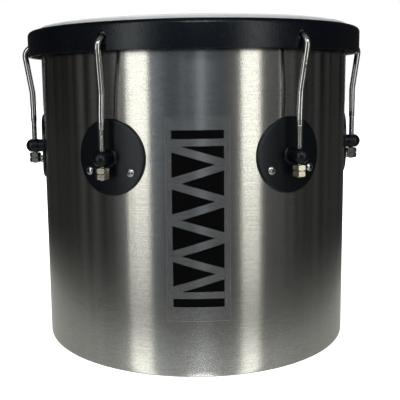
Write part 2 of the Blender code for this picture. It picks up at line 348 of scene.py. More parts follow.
def make_stainless():
    """Stainless sheet brushed round the drum, with one upright weld seam at the back."""
    look = Look("stainless", Metallic=1.0, Anisotropic=0.80, Anisotropic_Rotation=0.25)
    round_z = look.node("ShaderNodeTangent", direction_type="RADIAL", axis="Z").outputs[0]
    look.drives("Tangent", round_z)

    lines = look.noise(look.place((60, 60, 1500)), 1.0, 3.0, 0.7)
    clouds = look.noise(look.place(), 11.0, 3.0, 0.55)
    grain = look.noise(look.place((800, 800, 950)), 1.0, 1.0, 0.5)

    where = look.node("ShaderNodeSeparateXYZ", {0: look.place()}).outputs
    aside = look.maths("ABSOLUTE", where[0])
    near = look.between(aside, 0.9 * MM, 1.6 * MM, 1.0, 0.0)
    behind = look.between(where[1], 0.0, 10 * MM, 0.0, 1.0)
    seam = look.maths("MULTIPLY", near, behind)

    dark, light, weld = (0.385, 0.39, 0.385), (0.60, 0.595, 0.585), (0.33, 0.32, 0.31)
    from_lines = look.between(lines, 0.3, 0.7, 0.0, 0.5)
    from_grain = look.between(grain, 0.38, 0.62, 0.0, 0.4)
    sheet = look.mixed(look.maths("ADD", from_lines, from_grain), dark, light)
    look.drives("Base Color", look.mixed(seam, sheet, weld))

    uneven = look.maths("ADD", clouds, look.maths("MULTIPLY", lines, 0.5))
    rough = look.between(uneven, 0.45, 1.05, 0.17, 0.20)
    look.drives("Roughness", look.maths("ADD", rough, look.maths("MULTIPLY", seam, 0.2)))
    look.bumps(lines, 0.003 * MM)
    look.bumps(grain, 0.022 * MM)
    ripple = look.noise(look.place((300, 300, 900)), 1.0, 1.0)
    look.bumps(look.maths("MULTIPLY", seam, ripple), 0.25 * MM)
    return look.material


def make_film_look():
    """Milky satin film: a cloudy plastic that lets a little light through."""
    look = Look("milky_film", IOR=1.5, Subsurface_Weight=0.25, Subsurface_Scale=1.5 * MM,
                Coat_Weight=0.15, Coat_Roughness=0.35)
    clouds = look.noise(look.place(), 28.0, 4.0, 0.6)
    fine = look.noise(look.place(), 900.0, 2.0, 0.5)
    milk = look.mixed(look.between(clouds, 0.3, 0.7, 0, 1), (0.42, 0.43, 0.438), (0.49, 0.50, 0.508))
    look.drives("Base Color", milk)
    look.drives("Roughness", look.between(fine, 0.3, 0.7, 0.38, 0.50))
    look.bumps(fine, 0.02 * MM)
    return look.material


def make_aluminium():
    """Plain rolled channel, drawn round the drum."""
    look = Look("aluminium", Metallic=1.0)
    lines = look.noise(look.place((30, 30, 2500)), 1.0, 2.0)
    clouds = look.noise(look.place(), 60.0, 3.0)
    look.drives("Base Color", look.mixed(clouds, (0.66, 0.66, 0.67), (0.76, 0.76, 0.77)))
    look.drives("Roughness", look.between(lines, 0.3, 0.7, 0.3, 0.45))
    look.bumps(lines, 0.01 * MM)
    return look.material


def make_black_coating():
    """Black powder coat with a fine pebble, a little smoother where hands and sticks rub the top edge."""
    look = Look("black_coating", IOR=1.5, Specular_IOR_Level=0.45, Specular_Tint=BLUISH)
    pebble = look.cells(look.place(), 900.0)
    coarse = look.noise(look.place(), 240.0, 3.0, 0.6)
    clouds = look.noise(look.place(), 24.0, 3.0, 0.6)
    look.drives("Base Color", look.mixed(clouds, (0.0003, 0.0012, 0.0036), (0.0006, 0.0017, 0.0046)))
    height = look.node("ShaderNodeSeparateXYZ", {0: look.place()}).outputs[2]
    worn = look.between(height, HOOP_TOP - 5 * MM, HOOP_TOP - 1 * MM, 0.0, -0.04)
    look.drives("Roughness", look.maths("ADD", look.between(coarse, 0.3, 0.7, 0.23, 0.29), worn))
    look.bumps(pebble, 0.15 * MM, 0.7)
    look.bumps(coarse, 0.04 * MM, 0.3)
    return look.material


def make_black_plastic():
    """Moulded satin plastic with a fine spark-eroded texture and faint flow marks."""
    look = Look("black_plastic", IOR=1.49, Specular_IOR_Level=0.45, Specular_Tint=BLUISH)
    fine = look.noise(look.place(), 1500.0, 3.0, 0.6)
    soft = look.noise(look.place((1, 1, 2.5)), 70.0, 3.0, 0.55)
    look.drives("Base Color", look.mixed(soft, (0.0003, 0.0013, 0.0032), (0.0006, 0.0018, 0.0040)))
    look.drives("Roughness", look.between(fine, 0.3, 0.7, 0.27, 0.36))
    look.bumps(fine, 0.05 * MM, 0.6)
    look.bumps(soft, 0.1 * MM, 0.3)
    return look.material


def make_chrome():
    """Bright plate over drawn wire: the wire's slow waves bend the reflections."""
    look = Look("chrome", Metallic=1.0)
    waves = look.noise(look.place((1, 1, 0.45)), 330.0, 2.0)
    spots = look.noise(look.place(), 900.0, 3.0)
    look.drives("Base Color", look.mixed(spots, (0.52, 0.52, 0.53), (0.62, 0.62, 0.625)))
    look.drives("Roughness", look.between(spots, 0.35, 0.75, 0.02, 0.05))
    look.bumps(waves, 0.09 * MM, 0.7)
    return look.material


def make_nickel():
    """Yellowish nickel on hexagon bar, faintly ringed and stained."""
    look = Look("nickel", Metallic=1.0)
    rings = look.noise(look.place((60, 60, 3500)), 1.0, 2.0)
    stain = look.noise(look.place(), 260.0, 3.0, 0.55)
    metal = look.mixed(look.between(stain, 0.35, 0.7, 0, 1), (0.60, 0.57, 0.46), (0.74, 0.715, 0.62))
    look.drives("Base Color", metal)
    look.drives("Roughness", look.between(stain, 0.3, 0.75, 0.20, 0.29))
    look.bumps(rings, 0.004 * MM)
    look.bumps(stain, 0.01 * MM, 0.4)
    return look.material


def make_zinc():
    """Bright zinc plate, a little cloudy, with painted shade in the cross recess: its base colour is near
    black there.
    """
    look = Look("zinc", Metallic=1.0)
    clouds = look.noise(look.place(), 700.0, 4.0, 0.6)
    bright = look.mixed(clouds, (0.66, 0.67, 0.69), (0.84, 0.845, 0.86))
    up = look.node("ShaderNodeSeparateXYZ", {0: look.place()}).outputs[2]
    under_the_top = look.between(up, 1.75 * MM, 2.0 * MM, 1.0, 0.0)
    over_the_seat = look.between(up, 0.0, 0.1 * MM, 0.0, 1.0)
    near_the_axis = look.between(look.length(look.place((1, 1, 0))), 2.0 * MM, 2.3 * MM, 1.0, 0.0)
    # painted shade: the walls of the cross recess get a near-black base colour in place of shadow
    recess_shade = look.maths("MULTIPLY", look.maths("MULTIPLY", under_the_top, over_the_seat), near_the_axis)
    look.drives("Base Color", look.mixed(recess_shade, bright, (0.06, 0.06, 0.06)))
    look.drives("Roughness", look.between(clouds, 0.3, 0.7, 0.14, 0.26))
    look.bumps(clouds, 0.04 * MM, 0.5)
    return look.material


def make_clear_vinyl():
    """Clear self-adhesive film with a faint haze: the metal shows through."""
    look = Look("clear_vinyl", IOR=1.45, Coat_Weight=0.3, Coat_Roughness=0.2)
    haze = look.noise(look.place(), 90.0, 3.0, 0.6)
    look.drives("Base Color", look.mixed(haze, (0.30, 0.31, 0.32), (0.42, 0.43, 0.44)))
    look.drives("Roughness", look.between(haze, 0.3, 0.7, 0.22, 0.34))
    look.drives("Alpha", look.between(haze, 0.3, 0.7, 0.02, 0.05))
    return look.material


def make_cut_edge():
    """The pale cut edge of the clear film."""
    look = Look("vinyl_edge", IOR=1.45)
    haze = look.noise(look.place(), 200.0, 3.0, 0.6)
    look.drives("Base Color", look.mixed(haze, (0.32, 0.33, 0.34), (0.44, 0.45, 0.46)))
    look.drives("Roughness", look.between(haze, 0.3, 0.7, 0.3, 0.45))
    return look.material


def make_print():
    """Black ink on the clear film."""
    look = Look("black_print", IOR=1.45, Specular_IOR_Level=0.1)
    specks = look.noise(look.place(), 500.0, 3.0, 0.6)
    look.drives("Base Color", look.mixed(specks, (0.0008, 0.0009, 0.0010), (0.0014, 0.0015, 0.0017)))
    look.drives("Roughness", look.between(specks, 0.3, 0.7, 0.3, 0.42))
    return look.material


STAINLESS = make_stainless()
FILM = make_film_look()
ALUMINIUM = make_aluminium()
COATING = make_black_coating()
PLASTIC = make_black_plastic()
CHROME = make_chrome()
NICKEL = make_nickel()
ZINC = make_zinc()
CLEAR = make_clear_vinyl()
CUT_EDGE = make_cut_edge()
PRINT = make_print()


# ---------------------------------------------------------------- shell

ROUND = 288                         # facets of the large turned pieces
CLEARANCE = 0.3 * MM                # of the lugs and the decal from the shell
SHELL_T = 1.0 * MM
BEAD_R = 3.0 * MM
HEM_T = 2.5 * MM
HEM_H = 5.5 * MM

SCREW_AZIMUTH = 7.64                # degrees to each side of the lug
SCREW_HOLE_R = 2.2 * MM
screw_low, screw_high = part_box("lug_3_screw_left")
SCREW_Z = (screw_low.z + screw_high.z) / 2


def screw_places():
    """(lug number, side, azimuth) of every lug screw."""
    return [
        (number, side, azimuth + offset)
        for number, azimuth in enumerate(LUG_AZIMUTHS, start=1)
        for side, offset in zip(SIDES, (-SCREW_AZIMUTH, SCREW_AZIMUTH))
    ]


def make_shell():
    """Sheet with a bead rolled inwards at the top and a folded hem at the foot."""
    inner = SHELL_R - SHELL_T
    bead_z = SHELL_TOP - BEAD_R
    bead_at = SHELL_R - BEAD_R
    fold = SHELL_R - HEM_T
    foot = filleted([
        (SHELL_R, HEM_H, 0),
        (SHELL_R, 0, 1.1 * MM),
        (fold, 0, 1.1 * MM),
        (fold, HEM_H, 0.5 * MM),
        (inner, HEM_H + 0.4 * MM, 0.1 * MM),
    ], closed=False, count=5)
    inside = arc(bead_at, bead_z, BEAD_R - SHELL_T, 0, 180, 13)
    outside = arc(bead_at, bead_z, BEAD_R, 180, 0, 17)
    mesh = lathe("shell", foot + inside + outside, ROUND)
    hole = prism("screw_hole", 24, SCREW_HOLE_R, 8 * SHELL_T)
    drill = gathered("drill", [
        (hole, outwards(azimuth, SHELL_R, SCREW_Z)) for _, _, azimuth in screw_places()
    ])
    mesh = combined(mesh, drill, "DIFFERENCE")
    piece("shell_brushed", mesh, "drum", STAINLESS, ["shell"])


# ---------------------------------------------------------------- head and hoops

FILM_T = 0.35 * MM
FOLD_T = 0.3 * MM                   # of the film below its collar


def make_film():
    """Flat film with a moulded collar. Its edge is folded up into the flesh hoop's channel."""
    under = FILM_TOP - FILM_T
    flat_r = SHELL_R - 4 * MM
    collar_r = SHELL_R + 1.15 * MM
    collar_foot = SKIRT_FOOT + 0.3 * MM
    channel_r = FLESH_R - 2.6 * MM
    turn_z = FLESH_FOOT - FOLD_T - 0.05 * MM        # clear of the hooks' tips below
    edge_z = FLESH_FOOT + 4 * MM
    top = [
        (flat_r, FILM_TOP, 1 * MM),
        (SHELL_R + 0.6 * MM, FILM_TOP - 0.9 * MM, 1.9 * MM),
        (collar_r, FILM_TOP - 4.4 * MM, 3 * MM),
        (SKIRT_R, collar_foot, 0.5 * MM),
        (SKIRT_R, turn_z + FOLD_T, 0.25 * MM),
        (channel_r, turn_z + FOLD_T, 0.4 * MM),
        (channel_r, edge_z, 0),
    ]
    below = [
        (channel_r + FOLD_T, edge_z, 0),
        (channel_r + FOLD_T, turn_z, 0.7 * MM),
        (SKIRT_R - FOLD_T, turn_z, 0.6 * MM),
        (SKIRT_R - FOLD_T, collar_foot, 0.7 * MM),
        (collar_r - FOLD_T, FILM_TOP - 4.5 * MM, 3 * MM),
        (SHELL_R + 0.3 * MM, under - 0.8 * MM, 1.6 * MM),
        (flat_r, under, 1 * MM),
    ]
    rings = [flat_r * share for share in (0.2, 0.4, 0.6, 0.8, 0.95)]
    profile = [(0, FILM_TOP), *[(r, FILM_TOP) for r in rings]]
    profile += filleted(top + below, closed=False, count=6)
    profile += [*[(r, under) for r in reversed(rings)], (0, under)]
    mesh = lathe("drumhead", profile, ROUND, closed=False)
    made = bpy.data.objects.new("drumhead_film", mesh)
    bpy.context.scene.collection.objects.link(made)
    mesh.materials.append(FILM)
    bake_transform(made)
    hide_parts("drumhead")


def make_flesh_hoop():
    """An aluminium channel that opens downwards: the film's edge is folded up into it."""
    wall = 1.0 * MM
    width = 5.8 * MM
    inner = FLESH_R - width
    web = FLESH_TOP - wall
    outline = filleted([
        (FLESH_R, FLESH_TOP, 0.6 * MM),
        (FLESH_R, FLESH_FOOT, 0.3 * MM),
        (FLESH_R - wall, FLESH_FOOT, 0.3 * MM),
        (FLESH_R - wall, web, 0.4 * MM),
        (inner + wall, web, 0.4 * MM),
        (inner + wall, FLESH_FOOT, 0.3 * MM),
        (inner, FLESH_FOOT, 0.3 * MM),
        (inner, FLESH_TOP, 0.6 * MM),
    ], count=4)
    piece("flesh_hoop_channel", lathe("flesh_hoop", outline, ROUND), "hoop", ALUMINIUM,
          ["flesh_hoop"])


HOLE_FACETS = 40
HOOP_WALL = 2.5 * MM
HOOP_ROUND = 4.5 * MM
FLANGE_R = 154.2 * MM
FLANGE_T = 2.6 * MM
HOOK_HOLE_R = 4.15 * MM
HOOK_HOLE_Z = ROD_TOP - 3.0 * MM
HOOP_TURN = 0.95                    # degrees past the lugs: the rods lean sideways to reach their holes


def make_counterhoop():
    """A pressed hoop: its top edge is rolled over, and each hook hole has a small chamfer."""
    inner = HOOP_R - HOOP_WALL
    outline = filleted([
        (HOOP_R, HOOP_TOP, HOOP_ROUND),
        (HOOP_R, HOOP_FOOT, 0.7 * MM),
        (inner, HOOP_FOOT, 0.7 * MM),
        (inner, HOOP_TOP - FLANGE_T, 1.0 * MM),
        (FLANGE_R, HOOP_TOP - FLANGE_T, 0.5 * MM),
        (FLANGE_R, HOOP_TOP, 0.9 * MM),
    ], count=9)
    mesh = lathe("counterhoop", outline, ROUND)
    chamfer = 0.5 * MM
    depth = HOOP_WALL / 2
    beyond = 2 * MM
    cutter = lathe("hook_hole", [
        (0, depth + beyond),
        (HOOK_HOLE_R + chamfer + beyond, depth + beyond),
        (HOOK_HOLE_R, depth - chamfer),
        (HOOK_HOLE_R, -depth - beyond),
        (0, -depth - beyond),
    ], HOLE_FACETS, closed=False)
    middle = HOOP_R - depth
    drill = gathered("drill", [
        (cutter, outwards(azimuth + HOOP_TURN, middle, HOOK_HOLE_Z)) for azimuth in LUG_AZIMUTHS
    ])
    mesh = combined(mesh, drill, "DIFFERENCE")
    piece("counterhoop_black", mesh, "hoop", COATING, ["counterhoop"])


# ---------------------------------------------------------------- decal

DECAL_INNER = SHELL_R + CLEARANCE
DECAL_OUTER = DECAL_INNER + 0.3 * MM                # of the plain sheet in the frame
VINYL_T = 0.14 * MM
INK_T = 0.05 * MM
INK_LIFT = 0.01 * MM
DECAL_STRIPS = 28
PRINT_SHARE = 0.80                  # of the decal's width
PRINT_LOW, PRINT_HIGH = 61.6 * MM, 209.0 * MM
PRINT_BAR = 7 * MM
PRINT_GAP = 6.0 * MM
PRINT_RIBBON = 9.5 * MM
PRINT_TEETH = 4
decal_left = degrees(asin(decal_low.x / DECAL_OUTER))
decal_right = degrees(asin(decal_high.x / DECAL_OUTER))
DECAL_AZIMUTH = (decal_left + decal_right) / 2
DECAL_WIDTH = radians(decal_right - decal_left) * DECAL_INNER


def flat_shapes(outlines):
    """Flat faces in the (across, up) plane from closed outlines."""
    shape = bmesh.new()
    for spots in outlines:
        shape.faces.new([shape.verts.new((x, y, 0)) for x, y in spots])
    return shape


def bent_sheet(name, shape, inner, thickness):
    """Flat faces cut into upright strips, wrapped on the drum at a radius and thickened outwards."""
    half = DECAL_WIDTH / 2
    for i in range(1, DECAL_STRIPS):
        at = -half + DECAL_WIDTH * i / DECAL_STRIPS
        geometry = shape.verts[:] + shape.edges[:] + shape.faces[:]
        bmesh.ops.bisect_plane(shape, geom=geometry, plane_co=(at, 0, 0), plane_no=(1, 0, 0), dist=1e-6)
    raised = bmesh.ops.extrude_face_region(shape, geom=shape.faces[:])
    for corner in raised["geom"]:
        if isinstance(corner, bmesh.types.BMVert):
            corner.co.z = thickness
    for corner in shape.verts:
        azimuth = DECAL_AZIMUTH + degrees(corner.co.x / DECAL_INNER)
        corner.co = round_the_drum(azimuth, inner + corner.co.z, corner.co.y)
    return mesh_of(name, shape)


def print_outlines():
    """A plain zigzag: black triangles from both edges, a bare ribbon between them, a bar at each end."""
    half = DECAL_WIDTH * PRINT_SHARE / 2
    low, high = PRINT_LOW + PRINT_BAR + PRINT_GAP, PRINT_HIGH - PRINT_BAR - PRINT_GAP
    step = (high - low) / PRINT_TEETH
    inset = PRINT_RIBBON / 2
    tip = half - PRINT_RIBBON * 0.8
    outlines = [
        [(-half, at), (half, at), (half, at + PRINT_BAR), (-half, at + PRINT_BAR)]
        for at in (PRINT_LOW, PRINT_HIGH - PRINT_BAR)
    ]
    for i in range(PRINT_TEETH):
        foot = low + step * i
        outlines.append([(-half, foot + inset), (tip, foot + step / 2), (-half, foot + step - inset)])
    for i in range(PRINT_TEETH - 1):
        foot = low + step * (i + 0.5)
        outlines.append([(half, foot + inset), (half, foot + step - inset), (-tip, foot + step / 2)])
    outlines.append([(half, low), (half, low + step / 2 - inset), (-tip, low)])
    outlines.append([(-tip, high), (half, high - step / 2 + inset), (half, high)])
    return outlines


def make_decal():
    """A clear film with round corners and a pale cut edge, and the black pattern on it."""
    half = DECAL_WIDTH / 2
    corner = 1.6 * MM
    border = filleted([
        (-half, decal_low.z, corner), (half, decal_low.z, corner),
        (half, decal_high.z, corner), (-half, decal_high.z, corner),
    ], count=5)
    sheet = bent_sheet("decal", flat_shapes([border]), DECAL_INNER, VINYL_T)
    sheet.materials.append(CLEAR)
    sheet.materials.append(CUT_EDGE)
    ink = bent_sheet("decal_ink", flat_shapes(print_outlines()), DECAL_INNER + VINYL_T + INK_LIFT, INK_T)
    for strip in sheet.polygons:
        out = Vector((strip.center.x, strip.center.y, 0)).normalized()
        if abs(strip.normal.dot(out)) < 0.5:
            strip.material_index = 1
    piece("decal_film", sheet, "drum", CLEAR, ["decal"])
    piece("decal_pattern", ink, "drum", PRINT, ["decal"])


# ---------------------------------------------------------------- lugs

PLATE_BACK = SHELL_R + CLEARANCE
PLATE_T = 2.2 * MM
PEG_NECK_R = 6.3 * MM
PEG_R = 6.9 * MM
PEG_BORE_R = 3.25 * MM


def bent_plate():
    """The round plate. It is turned as a flat disc along +Z, then bent round the drum."""
    rings = [PLATE_R * share for share in (0.15, 0.3, 0.45, 0.6, 0.75, 0.88)]
    edge = filleted([
        (PLATE_R * 0.9, PLATE_T, 0),
        (PLATE_R - 0.9 * MM, PLATE_T, 0.5 * MM),
        (PLATE_R, PLATE_T - 1.0 * MM, 0.5 * MM),
        (PLATE_R, 0, 0.15 * MM),
        (PLATE_R * 0.9, 0, 0),
    ], closed=False, count=5)
    front = [(0, PLATE_T), *[(r, PLATE_T) for r in rings]]
    back = [*[(r, 0) for r in reversed(rings)], (0, 0)]
    mesh = lathe("flat_plate", front + edge + back, 96, closed=False)
    for corner in mesh.vertices:
        across, up, out = corner.co
        corner.co = round_the_drum(degrees(across / PLATE_BACK), PLATE_BACK + out, LUG_Z + up)
    mesh.update()
    return mesh


def make_lug_mesh():
    """Plate and peg in one moulding: a fillet at the peg's root, a domed tip and a bored head."""
    root = PLATE_BACK + PLATE_T
    head = NUT_AXIS - PEG_R * 0.45
    dome = PEG_END - PEG_R
    peg = lathe("peg", [
        (0, PEG_END),
        *arc(0, dome, PEG_R, 84, 0, 15),
        *filleted([
            (PEG_R, dome, 0),
            (PEG_R, head, 0.5 * MM),
            (PEG_NECK_R, head - 1.6 * MM, 0.6 * MM),
            (PEG_NECK_R, root, 1.6 * MM),
            (PEG_NECK_R + 2.6 * MM, root - 0.1 * MM, 0),
            (PEG_NECK_R + 2.6 * MM, root - 1.2 * MM, 0),
        ], closed=False, count=6)[1:],
        (0, root - 1.2 * MM),
    ], 64, closed=False)
    peg.transform(outwards(0, 0, LUG_Z))

    tip = PEG_R + 1 * MM
    flare = 1.15 * MM               # how far below the peg's top the bore starts to widen
    mouth = PEG_BORE_R + tip - PEG_R + flare
    bore = lathe("peg_bore", [
        (0, tip),
        (mouth, tip),
        (PEG_BORE_R, PEG_R - flare),
        (PEG_BORE_R, -PEG_R + flare),
        (mouth, -tip),
        (0, -tip),
    ], HOLE_FACETS, closed=False)
    bore.transform(Matrix.Translation(round_the_drum(0, NUT_AXIS, LUG_Z)))
    hole = prism("plate_hole", 24, SCREW_HOLE_R, 6 * PLATE_T)
    drill = gathered("drill", [
        (bore, Matrix.Identity(4)),
        *[(hole, outwards(side * SCREW_AZIMUTH, root, SCREW_Z)) for side in (-1, 1)],
    ])
    mesh = combined(bent_plate(), peg, "UNION")
    mesh = combined(mesh, drill, "DIFFERENCE", 28)
    mesh.name = "lug"
    return mesh


# ---------------------------------------------------------------- threads, hooks, nuts and screws

PITCH = 1.0 * MM
ROD_R = 2.9 * MM
THREAD_TOP = 211.5 * MM
SMOOTH_LEAD = 6 * MM                # from the thread's top to the first station of the plain rod
BEND_Z = 239 * MM
BEND_RADIUS = 25 * MM
LEAN = atan(0.15)                   # outwards, above the bend
CROOK_R = 9.0 * MM
TIP_FROM_AXIS = 155.4 * MM
SLANT_Z = 222 * MM                  # the rod leans sideways from here up


def thread(crest, pitch, at, angle, depth):
    """The radius of a right-hand thread at a height and an angle, with flat crests and roots."""
    turn = abs(2 * ((at / pitch - angle / tau) % 1.0) - 1)
    return crest - depth * max(0.0, min(1.0, (0.875 - turn) / 0.625))


def threaded(crest, pitch, foot, top, at):
    """The radius function of a station: the thread has a chamfered foot and runs out at its top."""
    lead = 0.75 * crest + max(0.0, at - foot)
    depth = 0.6 * pitch * max(0.0, min(1.0, (top - at) / (1.5 * pitch)))
    return lambda angle: min(lead, thread(crest, pitch, at, angle, depth))


def threaded_stations(crest, pitch, foot, top, per_turn=9):
    """Stations up a threaded bar on the Z axis, with so many for each turn of the thread."""
    count = ceil((top - foot) / pitch * per_turn)
    heights = [foot + (top - foot) * i / count for i in range(count + 1)]
    return [(Vector((0, 0, z)), Vector((0, 0, 1)), threaded(crest, pitch, foot, top, z)) for z in heights]


def hook_path():
    """The centre line above the thread: bent outwards, then over, and leaning sideways to its hole."""
    crook_top = ROD_TOP - ROD_R
    crook_z = crook_top - CROOK_R
    crook_foot = (crook_z - CROOK_R * sin(LEAN) - BEND_Z) * tan(LEAN)
    crook_at = crook_foot - CROOK_R * cos(LEAN)
    bend_foot = BEND_Z - BEND_RADIUS * tan(LEAN / 2)
    turn = degrees(LEAN)
    slant = NUT_AXIS * sin(radians(HOOP_TURN)) / (crook_top - SLANT_Z)
    spots = [
        (0, THREAD_TOP + SMOOTH_LEAD),
        (0, SLANT_Z),
        *arc(BEND_RADIUS, bend_foot, BEND_RADIUS, 180, 180 - turn, 9),
        *arc(crook_at, crook_z, CROOK_R, -turn, 90, 31),
        (TIP_FROM_AXIS - NUT_AXIS, crook_top),
    ]
    return [Vector((slant * max(0.0, z - SLANT_Z), -out, z)) for out, z in spots]


def make_hook_mesh():
    """The threaded rod with its crook, chamfered at the tip."""
    def smooth_bar(angle):
        return ROD_R

    spots = hook_path()
    stations = threaded_stations(ROD_R, PITCH, ROD_FOOT, THREAD_TOP)
    for before, here, after in zip([stations[-1][0], *spots], spots, spots[1:]):
        stations.append((here, (after - before).normalized(), smooth_bar))
    inwards = (spots[-1] - spots[-2]).normalized()
    chamfer = 0.5 * MM
    stations.append((spots[-1] - inwards * chamfer, inwards, smooth_bar))
    stations.append((spots[-1], inwards, lambda angle: ROD_R - chamfer))
    return tube("hook", stations, 32)


def make_nut_mesh(name, flats, height, bore_r):
    """A hexagon nut chamfered at both ends, with its top face at height 0."""
    corner_r = flats / sqrt(3)
    edge = flats / 2 * 0.97
    beyond = corner_r + 1 * MM
    middle = height / 2
    rim = middle - (beyond - edge) * tan(radians(30))
    crown = lathe(name + "_crown", [
        (0, middle),
        (edge, middle),
        (beyond, rim),
        (beyond, -rim),
        (edge, -middle),
        (0, -middle),
    ], 72, closed=False)
    sink = 0.45 * MM
    mouth = bore_r + sink + middle
    bore = lathe(name + "_bore", [
        (0, height),
        (mouth, height),
        (bore_r, middle - sink),
        (bore_r, sink - middle),
        (mouth, -height),
        (0, -height),
    ], HOLE_FACETS, closed=False)
    mesh = combined(prism(name, 6, corner_r, height), crown, "INTERSECT", 12)
    mesh = combined(mesh, bore, "DIFFERENCE", 12)
    mesh.transform(Matrix.Translation((0, 0, -middle)))
    mesh.name = name
    return mesh


SCREW_R = 2.0 * MM
SCREW_PITCH = 0.7 * MM
SCREW_HEAD_R = 3.65 * MM
SCREW_HEAD_H = 2.3 * MM
RECESS_DEPTH = 1.55 * MM
SCREW_SEAT = PLATE_BACK + PLATE_T + 0.3 * MM        # distance of the head's underside from the drum's axis
SCREW_INNER_END = 143.6 * MM
SMALL_NUT_H = 3.0 * MM
SMALL_NUT_OUTER = SHELL_R - SHELL_T - 0.6 * MM
M6_FLATS = 10 * MM
M4_FLATS = 7 * MM
NUT_TURN = -12                      # degrees, of the first tension nut
NUT_TURN_STEP = 27                  # from one lug to the next
LOCK_NUT_TURN = 1                   # further than the tension nut over it
DRIVE_TURN = 40                     # of the first screw's cross recess
DRIVE_TURN_STEP = 137.5


def cross_tool():
    """Two crossed wedges that cut the recess: wide at the head's top, narrower at the recess's floor."""
    wedges = []
    for turn in (0, 90):
        shape = bmesh.new()
        bmesh.ops.create_cube(shape, size=1)
        for corner in shape.verts:
            deep = corner.co.z < 0
            corner.co.x *= 2.0 * MM if deep else 4.5 * MM
            corner.co.y *= 0.7 * MM if deep else 1.15 * MM
            corner.co.z = SCREW_HEAD_H - RECESS_DEPTH if deep else SCREW_HEAD_H + 0.2 * MM
        wedges.append((mesh_of("wedge", shape), Matrix.Rotation(radians(turn), 4, "Z")))
    return wedges


def make_screw_mesh():
    """A pan head with a cross recess on a threaded shank. The head's underside is at height 0."""
    length = SCREW_SEAT - SCREW_INNER_END
    head = lathe("screw_head", filleted([
        (0, SCREW_HEAD_H, 0),
        (SCREW_HEAD_R * 0.5, SCREW_HEAD_H, 3 * MM),
        (SCREW_HEAD_R, SCREW_HEAD_H * 0.5, 1.0 * MM),
        (SCREW_HEAD_R, 0, 0.2 * MM),
        (0, 0, 0),
    ], closed=False, count=7), 48, closed=False)
    for wedge, turn in cross_tool():
        wedge.transform(turn)
        head = combined(head, wedge, "DIFFERENCE", 25)
    shank = tube("shank", threaded_stations(SCREW_R, SCREW_PITCH, -length, 0.5 * MM), 24)
    mesh = combined(head, shank, "UNION", 25)
    mesh.name = "lug_screw"
    return mesh


def make_fittings():
    """Everything that repeats at the six lugs."""
    lug = make_lug_mesh()
    hook = make_hook_mesh()
    nut = make_nut_mesh("m6_nut", M6_FLATS, NUT_H, ROD_R + 0.08 * MM)
    screw = make_screw_mesh()
    small_nut = make_nut_mesh("m4_nut", M4_FLATS, SMALL_NUT_H, SCREW_R + 0.06 * MM)
    for number, azimuth in enumerate(LUG_AZIMUTHS, start=1):
        turn = Matrix.Rotation(radians(azimuth), 4, "Z")
        piece(f"lug_{number}_moulding", lug, "drum", PLASTIC, [f"lug_{number}"], turn)
        shank = Matrix.Translation(round_the_drum(azimuth, NUT_AXIS, 0)) @ turn
        piece(f"hook_{number}_rod", hook, f"hook_body_{number}", CHROME, [f"hook_{number}"], shank)
        first = azimuth + NUT_TURN + NUT_TURN_STEP * (number - 1)
        kinds = ("tension_nut", NUT_TOP, first), ("lock_nut", LOCK_TOP, first + LOCK_NUT_TURN)
        for kind, height, stand in kinds:
            place = Matrix.Translation(round_the_drum(azimuth, NUT_AXIS, height))
            piece(f"{kind}_{number}_hex", nut, f"{kind}_body_{number}", NICKEL,
                  [f"{kind}_{number}"], place @ Matrix.Rotation(radians(stand), 4, "Z"))
    for index, (number, side, azimuth) in enumerate(screw_places()):
        drive = Matrix.Rotation(radians(DRIVE_TURN + DRIVE_TURN_STEP * index), 4, "Z")
        name = f"lug_{number}_screw_{side}"
        place = outwards(azimuth, SCREW_SEAT, SCREW_Z) @ drive
        piece(name + "_cross", screw, "drum", ZINC, [name], place)
        name = f"lug_{number}_screw_nut_{side}"
        place = outwards(azimuth, SMALL_NUT_OUTER, SCREW_Z)
        piece(name + "_hex", small_nut, "drum", ZINC, [name], place)


# ---------------------------------------------------------------- studio

WHITE = (1, 1, 1)
WARM_LAMP = (1.0, 0.98, 0.87)


def make_camera():
    """A view from the front, a little left of it, level with the upper part of the shell."""
    away, height = 695.4 * MM, 245.2 * MM
    azimuth = -2.41                 # degrees
    tilt, yaw, roll = 0.1365, -0.0260, -0.0140      # radians, from level and facing the drum's axis
    ahead = Vector((sin(yaw) * cos(tilt), cos(yaw) * cos(tilt), -sin(tilt)))
    right = Vector((cos(yaw), -sin(yaw), 0))
    up = right.cross(ahead)
    across = cos(roll) * right + sin(roll) * up
    upright = cos(roll) * up - sin(roll) * right
    turned = Matrix((across, upright, -ahead)).transposed().to_4x4()
    data = bpy.data.cameras.new("camera")
    data.lens = 61.05
    data.sensor_width = 36
    data.shift_x, data.shift_y = 0.0587, -0.0545
    camera = bpy.data.objects.new("camera", data)
    camera.matrix_world = (
        Matrix.Rotation(radians(azimuth), 4, "Z") @ Matrix.Translation((0, -away, height)) @ turned
    )
    bpy.context.scene.collection.objects.link(camera)
    bpy.context.scene.camera = camera


def softbox(name, azimuth, away, middle, width, tall, radiance, colour=WHITE, aim=0.15):
    """An area light placed by azimuth, distance and height, that aims at a height on the drum's axis."""
    data = bpy.data.lights.new(name, "AREA")
    data.shape = "RECTANGLE"
    data.size, data.size_y = width, tall
    data.energy = radiance * pi * width * tall
    data.color = colour
    made = bpy.data.objects.new(name, data)
    made.location = round_the_drum(azimuth, away, middle)
    toward = Vector((0, 0, aim)) - made.location
    made.rotation_euler = toward.to_track_quat("-Z", "Y").to_euler()
    made.visible_camera = False
    bpy.context.scene.collection.objects.link(made)
    return made


